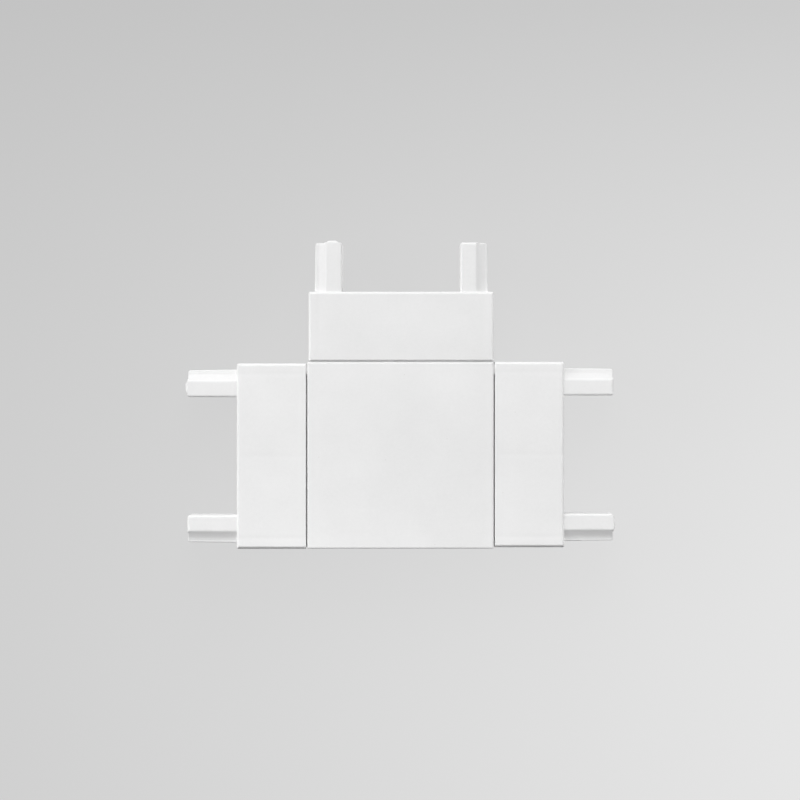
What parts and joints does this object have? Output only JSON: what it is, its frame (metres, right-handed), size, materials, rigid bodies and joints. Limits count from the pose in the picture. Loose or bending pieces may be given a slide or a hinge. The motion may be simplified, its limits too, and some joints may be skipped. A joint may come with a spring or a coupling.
{
  "type": "track light t-connector",
  "caption": "Square hub with short plug-in arms set in a T, each ending in grooved prongs with sprung brass contacts, that joins lengths of electric lighting track.",
  "frame": {"origin": "centre of the square hub on the connector's back plane", "axes": "+X along the straight run to the right arm, +Y along the stem arm, +Z out of the clean front face"},
  "size_m": [0.0812, 0.0583, 0.018],
  "materials": {
    "white_plastic": "fine satin moulded",
    "ivory_insulator": "matte moulded",
    "brass_strip": "stamped strip",
    "zinc_steel": "zinc plated"
  },
  "bodies": {
    "root": {"hub_shell": "white_plastic", "hub_back_cover": "white_plastic", "hub_screws": "zinc_steel", "live_busbar": "brass_strip", "neutral_busbar": "brass_strip", "earth_busbar": "brass_strip", "upper_insulator": "ivory_insulator", "lower_insulator": "ivory_insulator", "left_arm_shell": "white_plastic", "left_arm_cover": "white_plastic", "left_arm_screws": "zinc_steel", "left_live_contact": "brass_strip", "left_neutral_contact": "brass_strip", "left_earth_contact": "brass_strip", "right_arm_shell": "white_plastic", "right_arm_cover": "white_plastic", "right_arm_screws": "zinc_steel", "right_live_contact": "brass_strip", "right_neutral_contact": "brass_strip", "right_earth_contact": "brass_strip", "stem_arm_shell": "white_plastic", "stem_arm_cover": "white_plastic", "stem_arm_screws": "zinc_steel", "stem_live_contact": "brass_strip", "stem_neutral_contact": "brass_strip", "stem_earth_contact": "brass_strip"}
  },
  "joints": []
}
